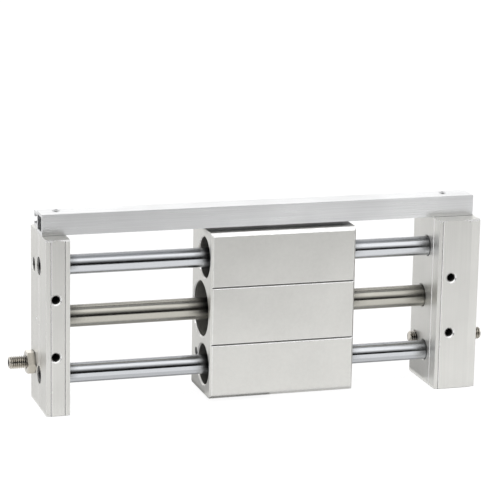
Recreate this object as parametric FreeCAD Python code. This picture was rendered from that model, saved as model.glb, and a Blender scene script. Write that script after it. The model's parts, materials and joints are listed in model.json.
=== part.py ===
import FreeCAD, Part
import math
import os

Vector = FreeCAD.Vector

# Guided rodless cylinder, in millimetres.
# X runs along the travel, Y goes back from the mounting face and Z is up.
# The origin is the centre of the four mounting holes, on the plates' front face.

# End plates
PLATE_GAP = 231.4
PLATE_HEIGHT = 107.0
PLATE_DEPTH = 45.0
LEFT_THICKNESS = 14.3
RIGHT_THICKNESS = 26.8
LEFT_INNER_RUN = 3.0
LEFT_INNER_DROP = 0.7
LEFT_OUTER_RUN = 2.8
LEFT_OUTER_DROP = 1.3
RIGHT_INNER_RUN = 2.2
RIGHT_INNER_DROP = 1.3
RIGHT_OUTER_RUN = 6.0
RIGHT_OUTER_DROP = 1.4
PLATE_BACK_EDGE = 0.6
CORNER_FACET = 1.0
LOCATING_GROOVE = 0.5
INNER_GROOVE_Y = 10.4
CENTRE_DIMPLE = 1.2
MOUNT_PITCH_X = 248.5
MOUNT_PITCH_Z = 35.0
MOUNT_DRILL_R = 2.5
MOUNT_DEPTH = 15.0
MOUNT_POINT = 1.5
MOUNT_RIM = 0.9

# Guide rods and their screws
ROD_R = 6.0
ROD_Y = 21.5
ROD_PITCH = 67.0
ROD_FIT = 0.02
ROD_RIM = 0.9
ROD_EDGE = 0.6
LEFT_ROD_SOCKET = 4.0
RIGHT_ROD_SOCKET = 10.0
SCREW_R = 3.0
SCREW_HOLE_GAP = 0.2
SCREW_EDGE = 0.5
SCREW_HEAD_R = 5.0
SCREW_HEAD_H = 6.0
SCREW_SOCKET_FLATS = 5.0
SCREW_SOCKET_DEPTH = 3.0
COUNTERBORE_R = 5.5
COUNTERBORE_DEPTH = 6.5
LEFT_SCREW_LENGTH = 16.0
RIGHT_SCREW_LENGTH = 20.0
ROD_TAP_DEPTH = 15.0
THREAD_GAP = 0.05

# Cylinder tube and air ways
TUBE_R = 6.7
BORE_R = 6.0
TUBE_Y = 28.0
TUBE_SOCKET = 6.0
CHAMBER_R = 5.0
LEFT_CHAMBER = 4.0
RIGHT_CHAMBER = 15.0
ORING_SECTION = 1.44
ORING_GAP = 0.05
ORING_GROOVE_WIDTH = 2.2
PORT_R = 4.3
PORT_RIM = 0.7
PORT_DEPTH = 9.5
PORT_Y = 37.5
PORT_Z = 31.0
PASSAGE_R = 1.75
PASSAGE_Y = 32.3
PASSAGE_INSET = 2.0
PLUG_R = 2.5
PLUG_LENGTH = 5.0
BUMPER_R = 5.9
BUMPER_BORE_R = 4.0
BUMPER_LENGTH = 3.0

# Stroke adjusters
STUD_R = 3.95
STUD_Y = 36.5
STUD_Z = -29.3
STUD_TIP = 4.2
STUD_EDGE = 0.9
STUD_RIM = 0.6
LEFT_STUD_LENGTH = 34.0
RIGHT_STUD_LENGTH = 48.0
STUD_SOCKET_FLATS = 4.0
STUD_SOCKET_DEPTH = 4.0
NUT_FLATS = 13.0
NUT_HEIGHT = 5.0
NUT_BEVEL = 0.6

# Switch rail: a closed tube with a slotted channel for switches behind it
RAIL_FRONT_Y = 12.4
RAIL_DEPTH = 14.6
RAIL_HEIGHT = 12.8
RAIL_WALL = 2.0
RAIL_RIGHT_INSET = 0.8
CHANNEL_DEPTH = 7.8
CHANNEL_LIFT = 2.3
CHANNEL_HEIGHT = 9.0
CHANNEL_WALL = 1.6
CHANNEL_LIP = 1.4
SLOT_LIFT = 2.4
SLOT_HEIGHT = 2.8
RAIL_SCREW_Y = 22.8
RAIL_SCREW_R = 1.5
RAIL_HEAD_R = 2.2
RAIL_HEAD_H = 0.7
RAIL_HEAD_EDGE = 0.3
RAIL_HEAD_CROWN_R = 1.6
RAIL_HEAD_CROWN_H = 0.6
RAIL_SCREW_GRIP = 9.0
RAIL_TAP_DEPTH = 10.0
LEFT_RAIL_SCREW = 3.7
RIGHT_RAIL_SCREW = 9.5

# Slide block
BLOCK_LENGTH = 91.5
BLOCK_HEIGHT = 103.0
BLOCK_FRONT_Y = 5.2
BLOCK_BACK_Y = 46.5
BLOCK_REST_X = 17.5
BLOCK_CHAMFER = 2.2
BLOCK_EDGE = 1.0
BLOCK_END_EDGE = 1.3
GROOVE_Z = 17.8
GROOVE_WIDTH = 1.6
COUPLER_BORE_R = 17.0
BORE_RIM = 0.8
TABLE_PITCH_X = 60.0
TABLE_DRILL_R = 2.1
TABLE_DEPTH = 10.0
PAD_R = 2.5
PAD_LENGTH = 4.0
SENSOR_LENGTH = 12.0
SENSOR_WIDTH = 6.0
SENSOR_HEIGHT = 4.0

# Guide bushings and seals, placed from the middle of the block
BUSHING_R = 10.5
BUSHING_LENGTH = 28.0
BUSHING_CLEARANCE = 0.05
BUSHING_EDGE = 0.8
SEAL_R = 12.5
SEAL_SEAT = 31.5
SEAL_LENGTH = 4.0
SEAL_CLEARANCE = 0.3
SEAL_BORDER = 2.2
SEAL_DISH = 0.6
LIP_WIDTH = 0.9
LIP_LENGTH = 1.2

# Magnetic coupling: rings of the outer stack and discs of the piston stack
MAGNET_COUNT = 5
MAGNET_LENGTH = 6.5
YOKE_LENGTH = 2.5
SLEEVE_R = 15.0
SLEEVE_END = 34.0
STACK_BORE_R = 7.2
WEAR_RING_R = 9.0
WEAR_RING_LENGTH = 6.0
WEAR_CLEARANCE = 0.05
SCRAPER_LENGTH = 3.0
RETAINER_LENGTH = 1.2
RETAINER_R = 17.9
RETAINER_GROOVE_R = 18.0
RETAINER_INNER_R = 14.9
RETAINER_GAP_DEG = 36.0
RETAINER_EAR_R = 1.9
RETAINER_EYE_R = 0.95

# Piston
PISTON_HALF = 58.3
PISTON_R = 5.6
DISC_R = 5.7
SHAFT_R = 2.0
SHAFT_HALF = 55.0
PISTON_SEAL_AT = 45.0
PISTON_SEAL_LENGTH = 3.5
PISTON_SEAL_SEAT_R = 4.2
CUP_TAPER = 0.2
CUP_LIP_LENGTH = 1.0
CUP_MOUTH = 0.6
CUP_DEPTH = 1.5
PISTON_WEAR_AT = 31.5
PISTON_WEAR_LENGTH = 5.0
PISTON_WEAR_SEAT_R = 5.0
PISTON_POCKET_R = 4.5
PISTON_NUT_SEAT = 51.0
PISTON_NUT_FLATS = 7.0
PISTON_NUT_HEIGHT = 3.2

# Values worked out from the above
LEFT = -1
RIGHT = 1
HALF_GAP = PLATE_GAP / 2
TOP = PLATE_HEIGHT / 2
ROD_Z = ROD_PITCH / 2
BLOCK_HALF = BLOCK_LENGTH / 2
STACK_HALF = (MAGNET_COUNT * MAGNET_LENGTH + (MAGNET_COUNT + 1) * YOKE_LENGTH) / 2
THICKNESS = {LEFT: LEFT_THICKNESS, RIGHT: RIGHT_THICKNESS}
INNER_STRIP = {LEFT: (LEFT_INNER_RUN, LEFT_INNER_DROP), RIGHT: (RIGHT_INNER_RUN, RIGHT_INNER_DROP)}
OUTER_STRIP = {LEFT: (LEFT_OUTER_RUN, LEFT_OUTER_DROP), RIGHT: (RIGHT_OUTER_RUN, RIGHT_OUTER_DROP)}
ROD_SOCKET = {LEFT: LEFT_ROD_SOCKET, RIGHT: RIGHT_ROD_SOCKET}
CHAMBER_DEPTH = {LEFT: LEFT_CHAMBER, RIGHT: RIGHT_CHAMBER}
SCREW_LENGTH = {LEFT: LEFT_SCREW_LENGTH, RIGHT: RIGHT_SCREW_LENGTH}
STUD_LENGTH = {LEFT: LEFT_STUD_LENGTH, RIGHT: RIGHT_STUD_LENGTH}
RAIL_SCREW_AT = {LEFT: LEFT_RAIL_SCREW, RIGHT: RIGHT_RAIL_SCREW}


# Shape helpers

def box(x0, x1, y0, y1, z0, z1):
    return Part.makeBox(x1 - x0, y1 - y0, z1 - z0, Vector(x0, y0, z0))


def cylinder_x(x0, x1, y, z, radius):
    """Cylinder along X between two stations, given in either order."""
    low, high = sorted((x0, x1))
    return Part.makeCylinder(radius, high - low, Vector(low, y, z), Vector(1, 0, 0))


def cylinder_y(x, y0, y1, z, radius):
    return Part.makeCylinder(radius, y1 - y0, Vector(x, y0, z), Vector(0, 1, 0))


def cylinder_z(x, y, z0, z1, radius):
    return Part.makeCylinder(radius, z1 - z0, Vector(x, y, z0), Vector(0, 0, 1))


def ring_x(x0, x1, y, z, outer, inner):
    return cylinder_x(x0, x1, y, z, outer).cut(cylinder_x(x0, x1, y, z, inner))


def rim_x(x, inward, y, z, radius, size):
    """Countersink of a hole along X, to cut its mouth at station x."""
    return Part.makeCone(radius + size, radius, size, Vector(x, y, z), Vector(inward, 0, 0))


def turned(profile, y, z):
    """Solid turned about an axis along X, from its (x, radius) outline."""
    points = [Vector(x, y, z + radius) for x, radius in profile]
    face = Part.Face(Part.makePolygon(points + points[:1]))
    return face.revolve(Vector(0, y, z), Vector(1, 0, 0), 360)


def extruded(points, direction):
    face = Part.Face(Part.makePolygon(points + points[:1]))
    return face.extrude(direction)


def hexagon_x(x0, x1, y, z, flats):
    """Hexagonal bar along X, with a corner to the front."""
    low, high = sorted((x0, x1))
    corner = flats / math.sqrt(3)
    angles = [math.radians(60 * step) for step in range(6)]
    points = [Vector(low, y + corner * math.cos(a), z + corner * math.sin(a)) for a in angles]
    return extruded(points, Vector(high - low, 0, 0))


def out_x(side, distance):
    """Station at a distance outwards from the inner face of one plate."""
    return side * (HALF_GAP + distance)


def block_x(side, distance):
    """Station at a distance from the middle of the block, at rest."""
    return BLOCK_REST_X + side * distance


def save(name, *solids):
    """Write one node: a single solid, or a group of separate ones."""
    shape = solids[0] if len(solids) == 1 else Part.makeCompound(list(solids))
    shape.exportStep(f"parts/{name}.step")


# End plates

def plate_blank(side):
    """Extruded bar with a sloped strip at each front corner, faceted at its top end."""
    thick = THICKNESS[side]
    inner_run, inner_drop = INNER_STRIP[side]
    outer_run, outer_drop = OUTER_STRIP[side]
    outline = [
        (0, inner_drop),
        (inner_run, 0),
        (thick - outer_run, 0),
        (thick, outer_drop),
        (thick, PLATE_DEPTH - PLATE_BACK_EDGE),
        (thick - PLATE_BACK_EDGE, PLATE_DEPTH),
        (PLATE_BACK_EDGE, PLATE_DEPTH),
        (0, PLATE_DEPTH - PLATE_BACK_EDGE),
    ]
    points = [Vector(out_x(side, distance), y, -TOP) for distance, y in outline]
    blank = extruded(points, Vector(0, 0, PLATE_HEIGHT))
    slanted = []
    for edge in blank.Edges:
        first, last = [vertex.Point for vertex in edge.Vertexes]
        leans = abs(last.x - first.x) > 0.1 and abs(last.y - first.y) > 0.1
        if leans and first.y < ROD_Y and first.z > 0:
            slanted.append(edge)
    return blank.makeChamfer(CORNER_FACET, slanted)


def locating_groove(side, distance, y):
    """Shallow V along the height of a plate, in one of its faces."""
    x = out_x(side, distance)
    points = [
        Vector(x - LOCATING_GROOVE, y, -TOP),
        Vector(x, y - LOCATING_GROOVE, -TOP),
        Vector(x + LOCATING_GROOVE, y, -TOP),
        Vector(x, y + LOCATING_GROOVE, -TOP),
    ]
    return extruded(points, Vector(0, 0, PLATE_HEIGHT))


def rod_seat(side, z):
    """Socket of a guide rod, with the screw's hole and counterbore behind it."""
    thick = THICKNESS[side]
    socket = cylinder_x(out_x(side, 0), out_x(side, ROD_SOCKET[side]), ROD_Y, z, ROD_R + ROD_FIT)
    rim = rim_x(out_x(side, 0), side, ROD_Y, z, ROD_R, ROD_RIM)
    hole = cylinder_x(out_x(side, 0), out_x(side, thick), ROD_Y, z, SCREW_R + SCREW_HOLE_GAP)
    seat = out_x(side, thick - COUNTERBORE_DEPTH)
    counterbore = cylinder_x(seat, out_x(side, thick), ROD_Y, z, COUNTERBORE_R)
    return [socket, rim, hole, counterbore]


def tube_seat(side):
    """Socket of the tube, its sealing groove and the chamber at its end."""
    floor = TUBE_SOCKET + CHAMBER_DEPTH[side]
    groove_start = out_x(side, (TUBE_SOCKET - ORING_GROOVE_WIDTH) / 2)
    groove_end = out_x(side, (TUBE_SOCKET + ORING_GROOVE_WIDTH) / 2)
    groove_r = TUBE_R + ORING_SECTION + ORING_GAP
    socket = cylinder_x(out_x(side, 0), out_x(side, TUBE_SOCKET), TUBE_Y, 0, TUBE_R + ROD_FIT)
    groove = cylinder_x(groove_start, groove_end, TUBE_Y, 0, groove_r)
    rim = rim_x(out_x(side, 0), side, TUBE_Y, 0, TUBE_R, ROD_RIM)
    chamber = cylinder_x(out_x(side, 0), out_x(side, floor), TUBE_Y, 0, CHAMBER_R)
    dimple = rim_x(out_x(side, THICKNESS[side]), -side, TUBE_Y, 0, 0, CENTRE_DIMPLE)
    return [socket, groove, rim, chamber, dimple]


def passage_x(side):
    return out_x(side, TUBE_SOCKET + CHAMBER_DEPTH[side] - PASSAGE_INSET)


def air_way(side):
    """Threaded port, and the plugged drilling that leads from it to the tube."""
    face = out_x(side, THICKNESS[side])
    port = cylinder_x(face, face - side * PORT_DEPTH, PORT_Y, PORT_Z, PORT_R)
    rim = rim_x(face, -side, PORT_Y, PORT_Z, PORT_R, PORT_RIM)
    drilling = cylinder_z(passage_x(side), PASSAGE_Y, 0, TOP, PASSAGE_R)
    pocket = cylinder_z(passage_x(side), PASSAGE_Y, TOP - PLUG_LENGTH, TOP, PLUG_R)
    return [port, rim, drilling, pocket]


def mounting_hole(side, z):
    """Tapped hole in the front face, with a drill point and a small countersink."""
    x = side * MOUNT_PITCH_X / 2
    inwards = Vector(0, 1, 0)
    mouth = MOUNT_DRILL_R + MOUNT_RIM
    hole = cylinder_y(x, 0, MOUNT_DEPTH, z, MOUNT_DRILL_R)
    point = Part.makeCone(MOUNT_DRILL_R, 0, MOUNT_POINT, Vector(x, MOUNT_DEPTH, z), inwards)
    rim = Part.makeCone(mouth, MOUNT_DRILL_R, MOUNT_RIM, Vector(x, 0, z), inwards)
    return [hole, point, rim]


def rail_screw_x(side):
    return out_x(side, RAIL_SCREW_AT[side])


def end_plate(side):
    thick = THICKNESS[side]
    rail_tap_r = RAIL_SCREW_R + THREAD_GAP
    cuts = [
        locating_groove(side, 0, INNER_GROOVE_Y),
        locating_groove(side, thick, ROD_Y),
        locating_groove(side, INNER_STRIP[side][0], 0),
        cylinder_x(out_x(side, 0), out_x(side, thick), STUD_Y, STUD_Z, STUD_R + THREAD_GAP),
        rim_x(out_x(side, 0), side, STUD_Y, STUD_Z, STUD_R, STUD_RIM),
        cylinder_z(rail_screw_x(side), RAIL_SCREW_Y, TOP - RAIL_TAP_DEPTH, TOP, rail_tap_r),
    ]
    for z in (ROD_Z, -ROD_Z):
        cuts += rod_seat(side, z)
    for z in (MOUNT_PITCH_Z / 2, -MOUNT_PITCH_Z / 2):
        cuts += mounting_hole(side, z)
    if side == LEFT:
        cuts.append(locating_groove(side, thick - LEFT_OUTER_RUN, 0))
    cuts += tube_seat(side)
    cuts += air_way(side)
    return plate_blank(side).cut(cuts)


# Rods, tube and their fastenings

def guide_rod(z):
    """Ground rod, chamfered and tapped at both ends."""
    start = out_x(LEFT, LEFT_ROD_SOCKET)
    end = out_x(RIGHT, RIGHT_ROD_SOCKET)
    tap = SCREW_R + THREAD_GAP
    outline = [
        (start, tap),
        (start, ROD_R - ROD_EDGE),
        (start + ROD_EDGE, ROD_R),
        (end - ROD_EDGE, ROD_R),
        (end, ROD_R - ROD_EDGE),
        (end, tap),
        (end - ROD_TAP_DEPTH, tap),
        (end - ROD_TAP_DEPTH - tap / 2, 0),
        (start + ROD_TAP_DEPTH + tap / 2, 0),
        (start + ROD_TAP_DEPTH, tap),
    ]
    return turned(outline, ROD_Y, z)


def guide_screw(side, z):
    """Socket head screw that holds a guide rod, seen from the plate's outer face."""
    seat = out_x(side, THICKNESS[side] - COUNTERBORE_DEPTH)
    tip = seat - side * SCREW_LENGTH[side]
    head = seat + side * SCREW_HEAD_H
    outline = [
        (tip, 0),
        (tip, SCREW_R - SCREW_EDGE),
        (tip + side * SCREW_EDGE, SCREW_R),
        (seat, SCREW_R),
        (seat, SCREW_HEAD_R),
        (head - side * SCREW_EDGE, SCREW_HEAD_R),
        (head, SCREW_HEAD_R - SCREW_EDGE),
        (head, 0),
    ]
    socket = hexagon_x(head - side * SCREW_SOCKET_DEPTH, head, ROD_Y, z, SCREW_SOCKET_FLATS)
    return turned(outline, ROD_Y, z).cut(socket)


def cylinder_tube():
    start = out_x(LEFT, TUBE_SOCKET)
    end = out_x(RIGHT, TUBE_SOCKET)
    return ring_x(start, end, TUBE_Y, 0, TUBE_R, BORE_R)


def tube_oring(side):
    section = ORING_SECTION / 2
    centre = Vector(out_x(side, TUBE_SOCKET / 2), TUBE_Y, 0)
    return Part.makeTorus(TUBE_R + section, section, centre, Vector(1, 0, 0))


def end_bumper(side):
    floor = out_x(side, TUBE_SOCKET)
    return ring_x(floor, floor - side * BUMPER_LENGTH, TUBE_Y, 0, BUMPER_R, BUMPER_BORE_R)


def passage_plug(side):
    return cylinder_z(passage_x(side), PASSAGE_Y, TOP - PLUG_LENGTH, TOP, PLUG_R)


# Stroke adjusters

def adjusting_screw(side):
    """Threaded stud with a flat cup tip inside and a hexagon socket outside."""
    tip = out_x(side, -STUD_TIP)
    end = tip + side * STUD_LENGTH[side]
    outline = [
        (tip, 0),
        (tip, STUD_R - STUD_EDGE),
        (tip + side * STUD_EDGE, STUD_R),
        (end - side * STUD_EDGE, STUD_R),
        (end, STUD_R - STUD_EDGE),
        (end, 0),
    ]
    socket = hexagon_x(end - side * STUD_SOCKET_DEPTH, end, STUD_Y, STUD_Z, STUD_SOCKET_FLATS)
    return turned(outline, STUD_Y, STUD_Z).cut(socket)


def chamfered_nut(x0, x1, y, z, flats, bore):
    """Hexagon nut with its corners turned off at both faces."""
    corner = flats / math.sqrt(3)
    drop = (corner - flats / 2) * NUT_BEVEL
    outline = [
        (x0, bore),
        (x0, flats / 2),
        (x0 + drop, corner),
        (x1 - drop, corner),
        (x1, flats / 2),
        (x1, bore),
    ]
    return hexagon_x(x0, x1, y, z, flats).common(turned(outline, y, z))


def lock_nut(side):
    face = out_x(side, THICKNESS[side])
    low, high = sorted((face, face + side * NUT_HEIGHT))
    return chamfered_nut(low, high, STUD_Y, STUD_Z, NUT_FLATS, STUD_R + THREAD_GAP)


# Switch rail

def switch_rail():
    """Closed rectangular tube with a slotted channel for switches along its back."""
    start = out_x(LEFT, LEFT_THICKNESS)
    end = out_x(RIGHT, RIGHT_THICKNESS - RAIL_RIGHT_INSET)
    back = RAIL_FRONT_Y + RAIL_DEPTH
    low = TOP + CHANNEL_LIFT
    high = low + CHANNEL_HEIGHT
    tube = box(start, end, RAIL_FRONT_Y, back, TOP, TOP + RAIL_HEIGHT)
    hollow = box(
        start, end, RAIL_FRONT_Y + RAIL_WALL, back - RAIL_WALL,
        TOP + RAIL_WALL, TOP + RAIL_HEIGHT - RAIL_WALL,
    )
    channel = box(start, end, back, back + CHANNEL_DEPTH, low, high)
    floor = low + CHANNEL_WALL
    lip = back + CHANNEL_DEPTH - CHANNEL_LIP
    room = box(start, end, back, lip, floor, high - CHANNEL_WALL)
    slot = box(start, end, lip, back + CHANNEL_DEPTH, low + SLOT_LIFT, low + SLOT_LIFT + SLOT_HEIGHT)
    rail = tube.fuse(channel).removeSplitter()
    holes = []
    for side in (LEFT, RIGHT):
        x = rail_screw_x(side)
        hole_r = RAIL_SCREW_R + SCREW_HOLE_GAP
        holes.append(cylinder_z(x, RAIL_SCREW_Y, TOP, TOP + RAIL_HEIGHT, hole_r))
    return rail.cut([hollow, room, slot] + holes)


def rail_screw(side):
    """Low domed screw through the rail into the top of a plate."""
    x = rail_screw_x(side)
    seat = TOP + RAIL_HEIGHT
    shank = cylinder_z(x, RAIL_SCREW_Y, TOP - RAIL_SCREW_GRIP, seat, RAIL_SCREW_R)
    outline = [
        (0, 0),
        (RAIL_HEAD_R, 0),
        (RAIL_HEAD_R, RAIL_HEAD_EDGE),
        (RAIL_HEAD_CROWN_R, RAIL_HEAD_CROWN_H),
        (0, RAIL_HEAD_H),
    ]
    points = [Vector(x + radius, RAIL_SCREW_Y, seat + height) for radius, height in outline]
    face = Part.Face(Part.makePolygon(points + points[:1]))
    head = face.revolve(Vector(x, RAIL_SCREW_Y, 0), Vector(0, 0, 1), 360)
    return shank.fuse(head)


# Slide block

def block_section():
    """Outline of the block across the travel, with two V-grooves in its front."""
    half = BLOCK_HEIGHT / 2
    front = BLOCK_FRONT_Y
    back = BLOCK_BACK_Y
    groove = GROOVE_WIDTH / 2
    outline = [(front + BLOCK_CHAMFER, -half), (front, BLOCK_CHAMFER - half)]
    for z in (-GROOVE_Z, GROOVE_Z):
        outline += [(front, z - groove), (front + groove, z), (front, z + groove)]
    outline += [
        (front, half - BLOCK_CHAMFER),
        (front + BLOCK_CHAMFER, half),
        (back - BLOCK_EDGE, half),
        (back, half - BLOCK_EDGE),
        (back, BLOCK_EDGE - half),
        (back - BLOCK_EDGE, -half),
    ]
    return outline


def guide_bore(z):
    """Bore of one guide: bushings in the middle, a wider recess for the seal at each end."""
    cuts = [cylinder_x(block_x(LEFT, BLOCK_HALF), block_x(RIGHT, BLOCK_HALF), ROD_Y, z, BUSHING_R)]
    for side in (LEFT, RIGHT):
        face = block_x(side, BLOCK_HALF)
        cuts.append(cylinder_x(block_x(side, SEAL_SEAT), face, ROD_Y, z, SEAL_R))
        cuts.append(rim_x(face, -side, ROD_Y, z, SEAL_R, BORE_RIM))
    return cuts


def coupler_bore():
    """Middle bore, with a groove at each end for a retaining ring."""
    cuts = [cylinder_x(block_x(LEFT, BLOCK_HALF), block_x(RIGHT, BLOCK_HALF), TUBE_Y, 0, COUPLER_BORE_R)]
    for side in (LEFT, RIGHT):
        start = block_x(side, SLEEVE_END)
        end = block_x(side, SLEEVE_END + RETAINER_LENGTH)
        cuts.append(cylinder_x(start, end, TUBE_Y, 0, RETAINER_GROOVE_R))
        cuts.append(rim_x(block_x(side, BLOCK_HALF), -side, TUBE_Y, 0, COUPLER_BORE_R, BORE_RIM))
    return cuts


def upright_bevel(side):
    """Wedge that bevels the upright front edge at one end of the block."""
    face = block_x(side, BLOCK_HALF)
    bottom = -BLOCK_HEIGHT / 2
    points = [
        Vector(face, BLOCK_FRONT_Y, bottom),
        Vector(face - side * BLOCK_END_EDGE, BLOCK_FRONT_Y, bottom),
        Vector(face, BLOCK_FRONT_Y + BLOCK_END_EDGE, bottom),
    ]
    return extruded(points, Vector(0, 0, BLOCK_HEIGHT))


def stop_pad(side):
    face = block_x(side, BLOCK_HALF)
    return cylinder_x(face - side * PAD_LENGTH, face, STUD_Y, STUD_Z, PAD_R)


def sensor_magnet():
    top = BLOCK_HEIGHT / 2
    x = BLOCK_REST_X - SENSOR_LENGTH / 2
    y = RAIL_SCREW_Y - SENSOR_WIDTH / 2
    return box(x, x + SENSOR_LENGTH, y, y + SENSOR_WIDTH, top - SENSOR_HEIGHT, top)


def slide_block():
    points = [Vector(block_x(LEFT, BLOCK_HALF), y, z) for y, z in block_section()]
    block = extruded(points, Vector(BLOCK_LENGTH, 0, 0))
    cuts = guide_bore(ROD_Z) + guide_bore(-ROD_Z) + coupler_bore() + [sensor_magnet()]
    for side in (LEFT, RIGHT):
        cuts.append(upright_bevel(side))
        cuts.append(stop_pad(side))
        for z in (ROD_Z, -ROD_Z):
            x = block_x(side, TABLE_PITCH_X / 2)
            cuts.append(cylinder_y(x, BLOCK_BACK_Y - TABLE_DEPTH, BLOCK_BACK_Y, z, TABLE_DRILL_R))
    return block.cut(cuts)


def bushing(side, z):
    """Plain bushing behind a seal, with chamfered ends."""
    near = block_x(side, SEAL_SEAT - BUSHING_LENGTH)
    far = block_x(side, SEAL_SEAT)
    low, high = sorted((near, far))
    inner = ROD_R + BUSHING_CLEARANCE
    edge = BUSHING_EDGE
    outline = [
        (low, inner + edge),
        (low, BUSHING_R - edge),
        (low + edge, BUSHING_R),
        (high - edge, BUSHING_R),
        (high, BUSHING_R - edge),
        (high, inner + edge),
        (high - edge, inner),
        (low + edge, inner),
    ]
    return turned(outline, ROD_Y, z)


def lip_ring(side, seat, face, y, z, outer, inner):
    """Rubber ring with a dished outer face and a lip around the rod or tube it wipes."""
    dish = face - side * SEAL_DISH
    outline = [
        (seat, inner + LIP_WIDTH),
        (seat, outer),
        (face, outer),
        (face, outer - SEAL_BORDER),
        (dish, outer - SEAL_BORDER - SEAL_DISH),
        (dish, inner + LIP_WIDTH),
        (face, inner),
        (face - side * LIP_LENGTH, inner),
    ]
    return turned(outline, y, z)


def guide_seal(side, z):
    """Seal deep in the mouth of a guide bore."""
    seat = block_x(side, SEAL_SEAT)
    face = seat + side * SEAL_LENGTH
    return lip_ring(side, seat, face, ROD_Y, z, SEAL_R, ROD_R + SEAL_CLEARANCE)


# Outer half of the coupling

def stack(magnet, yoke):
    """Alternate yokes and magnets along X; returns the two lists of solids."""
    magnets = []
    yokes = []
    x = block_x(LEFT, STACK_HALF)
    for step in range(MAGNET_COUNT):
        yokes.append(yoke(x, x + YOKE_LENGTH))
        magnets.append(magnet(x + YOKE_LENGTH, x + YOKE_LENGTH + MAGNET_LENGTH))
        x += YOKE_LENGTH + MAGNET_LENGTH
    yokes.append(yoke(x, x + YOKE_LENGTH))
    return magnets, yokes


def coupler_ring(x0, x1):
    return ring_x(x0, x1, TUBE_Y, 0, SLEEVE_R, STACK_BORE_R)


def coupler_sleeve():
    return ring_x(
        block_x(LEFT, SLEEVE_END), block_x(RIGHT, SLEEVE_END), TUBE_Y, 0, COUPLER_BORE_R, SLEEVE_R
    )


def coupler_end_ring(side):
    """Spacer between the stack and the scraper, with a seat for the wear ring."""
    start = block_x(side, STACK_HALF)
    end = block_x(side, SLEEVE_END - SCRAPER_LENGTH)
    ring = ring_x(start, end, TUBE_Y, 0, SLEEVE_R, STACK_BORE_R)
    seat = cylinder_x(end - side * WEAR_RING_LENGTH, end, TUBE_Y, 0, WEAR_RING_R)
    return ring.cut(seat)


def coupler_wear_ring(side):
    end = block_x(side, SLEEVE_END - SCRAPER_LENGTH)
    start = end - side * WEAR_RING_LENGTH
    return ring_x(start, end, TUBE_Y, 0, WEAR_RING_R, TUBE_R + WEAR_CLEARANCE)


def tube_scraper(side):
    """Ring that wipes the tube, at the end of the outer stack."""
    seat = block_x(side, SLEEVE_END - SCRAPER_LENGTH)
    face = block_x(side, SLEEVE_END)
    return lip_ring(side, seat, face, TUBE_Y, 0, SLEEVE_R, TUBE_R + SEAL_CLEARANCE)


def retaining_ring(side):
    """Split ring that snaps into the bore's groove, with an eared gap at the bottom."""
    start = block_x(side, SLEEVE_END)
    end = block_x(side, SLEEVE_END + RETAINER_LENGTH)
    low = min(start, end)
    ring = ring_x(start, end, TUBE_Y, 0, RETAINER_R, RETAINER_INNER_R)
    half = math.radians(RETAINER_GAP_DEG / 2)
    reach = RETAINER_R / math.cos(half)
    wedge = [
        Vector(low, TUBE_Y, 0),
        Vector(low, TUBE_Y + reach * math.sin(half), -reach * math.cos(half)),
        Vector(low, TUBE_Y - reach * math.sin(half), -reach * math.cos(half)),
    ]
    ring = ring.cut(extruded(wedge, Vector(RETAINER_LENGTH, 0, 0)))
    for turn in (-1, 1):
        ear_angle = half + math.asin(RETAINER_EAR_R / RETAINER_INNER_R)
        y = TUBE_Y + turn * RETAINER_INNER_R * math.sin(ear_angle)
        z = -RETAINER_INNER_R * math.cos(ear_angle)
        ring = ring.fuse(cylinder_x(start, end, y, z, RETAINER_EAR_R))
        ring = ring.cut(cylinder_x(start, end, y, z, RETAINER_EYE_R))
    return ring.removeSplitter()


# Piston

def piston_disc(x0, x1):
    return ring_x(x0, x1, TUBE_Y, 0, DISC_R, SHAFT_R + THREAD_GAP)


def piston_shaft():
    return cylinder_x(block_x(LEFT, SHAFT_HALF), block_x(RIGHT, SHAFT_HALF), TUBE_Y, 0, SHAFT_R)


def piston(side):
    """Piston head with grooves for its wear ring and seal, and a pocket for the nut."""
    bore = SHAFT_R + THREAD_GAP
    stations = [
        (STACK_HALF, bore),
        (STACK_HALF, PISTON_R),
        (PISTON_WEAR_AT, PISTON_R),
        (PISTON_WEAR_AT, PISTON_WEAR_SEAT_R),
        (PISTON_WEAR_AT + PISTON_WEAR_LENGTH, PISTON_WEAR_SEAT_R),
        (PISTON_WEAR_AT + PISTON_WEAR_LENGTH, PISTON_R),
        (PISTON_SEAL_AT, PISTON_R),
        (PISTON_SEAL_AT, PISTON_SEAL_SEAT_R),
        (PISTON_SEAL_AT + PISTON_SEAL_LENGTH, PISTON_SEAL_SEAT_R),
        (PISTON_SEAL_AT + PISTON_SEAL_LENGTH, PISTON_R),
        (PISTON_HALF, PISTON_R),
        (PISTON_HALF, PISTON_POCKET_R),
        (PISTON_NUT_SEAT, PISTON_POCKET_R),
        (PISTON_NUT_SEAT, bore),
    ]
    return turned([(block_x(side, along), radius) for along, radius in stations], TUBE_Y, 0)


def piston_seal(side):
    """Cup seal with an open lip towards the pressure side."""
    inner = PISTON_SEAL_SEAT_R
    outer = BORE_R - WEAR_CLEARANCE
    middle = (inner + outer) / 2
    end = PISTON_SEAL_AT + PISTON_SEAL_LENGTH
    stations = [
        (PISTON_SEAL_AT, inner),
        (PISTON_SEAL_AT, outer - CUP_TAPER),
        (end - CUP_LIP_LENGTH, outer),
        (end, outer),
        (end, middle + CUP_MOUTH / 2),
        (end - CUP_DEPTH, middle),
        (end, middle - CUP_MOUTH / 2),
        (end, inner),
    ]
    return turned([(block_x(side, along), radius) for along, radius in stations], TUBE_Y, 0)


def piston_wear_ring(side):
    start = block_x(side, PISTON_WEAR_AT)
    end = block_x(side, PISTON_WEAR_AT + PISTON_WEAR_LENGTH)
    return ring_x(start, end, TUBE_Y, 0, BORE_R - WEAR_CLEARANCE, PISTON_WEAR_SEAT_R)


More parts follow.
